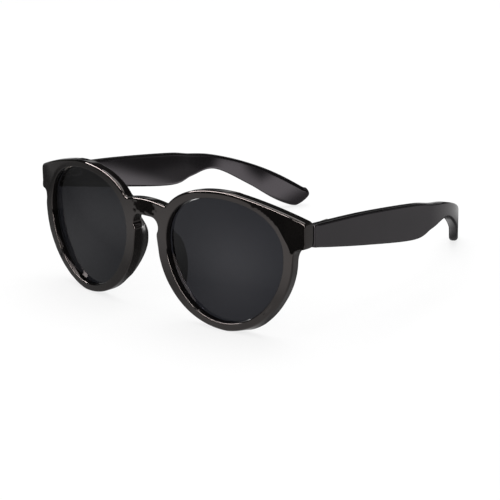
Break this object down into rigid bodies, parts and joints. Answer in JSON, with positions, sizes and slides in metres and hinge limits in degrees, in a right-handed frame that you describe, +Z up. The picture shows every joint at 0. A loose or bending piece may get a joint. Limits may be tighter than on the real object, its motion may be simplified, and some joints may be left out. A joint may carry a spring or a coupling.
{
  "type": "round sunglasses",
  "caption": "Round keyhole-bridge sunglasses with a face-form curved front, tinted lenses, nose pads and folding temples on screwed hinges.",
  "frame": {"origin": "on the surface that the sunglasses stand on, under the middle of their footprint", "axes": "+X towards the wearer's left, -Y out through the lenses, +Y towards the ears, +Z up from the surface that the rims and temple tips stand on"},
  "size_m": [0.141, 0.1392, 0.0522],
  "materials": {
    "frame": "polished black sheet plastic",
    "temple": "polished black plastic",
    "lens": "dark neutral grey tint, polished",
    "hinge": "nickel alloy, barrel polished",
    "screw": "plain steel",
    "core": "drawn wire"
  },
  "bodies": {
    "front": {"front_frame": "frame", "lens_left": "lens", "lens_right": "lens", "nose_pad_left": "frame", "nose_pad_right": "frame", "front_hinge_leaf_left": "hinge", "front_hinge_leaf_right": "hinge", "front_leaf_screws_left": "screw", "front_leaf_screws_right": "screw", "hinge_screw_left": "screw", "hinge_screw_right": "screw"},
    "left_temple": {"temple_left": "temple", "temple_hinge_leaf_left": "hinge", "temple_leaf_screws_left": "screw", "temple_core_left": "core"},
    "right_temple": {"temple_right": "temple", "temple_hinge_leaf_right": "hinge", "temple_leaf_screws_right": "screw", "temple_core_right": "core"}
  },
  "joints": [
    {"name": "left_hinge", "type": "hinge", "parent": "front", "child": "left_temple", "pos_m": [0.0648, -0.05224, 0.03918], "axis": [0, 0.0542, 0.9985], "range_deg": [0, 79]},
    {"name": "right_hinge", "type": "hinge", "parent": "front", "child": "right_temple", "pos_m": [-0.0648, -0.05224, 0.03918], "axis": [0, -0.0542, -0.9985], "range_deg": [0, 65]}
  ]
}
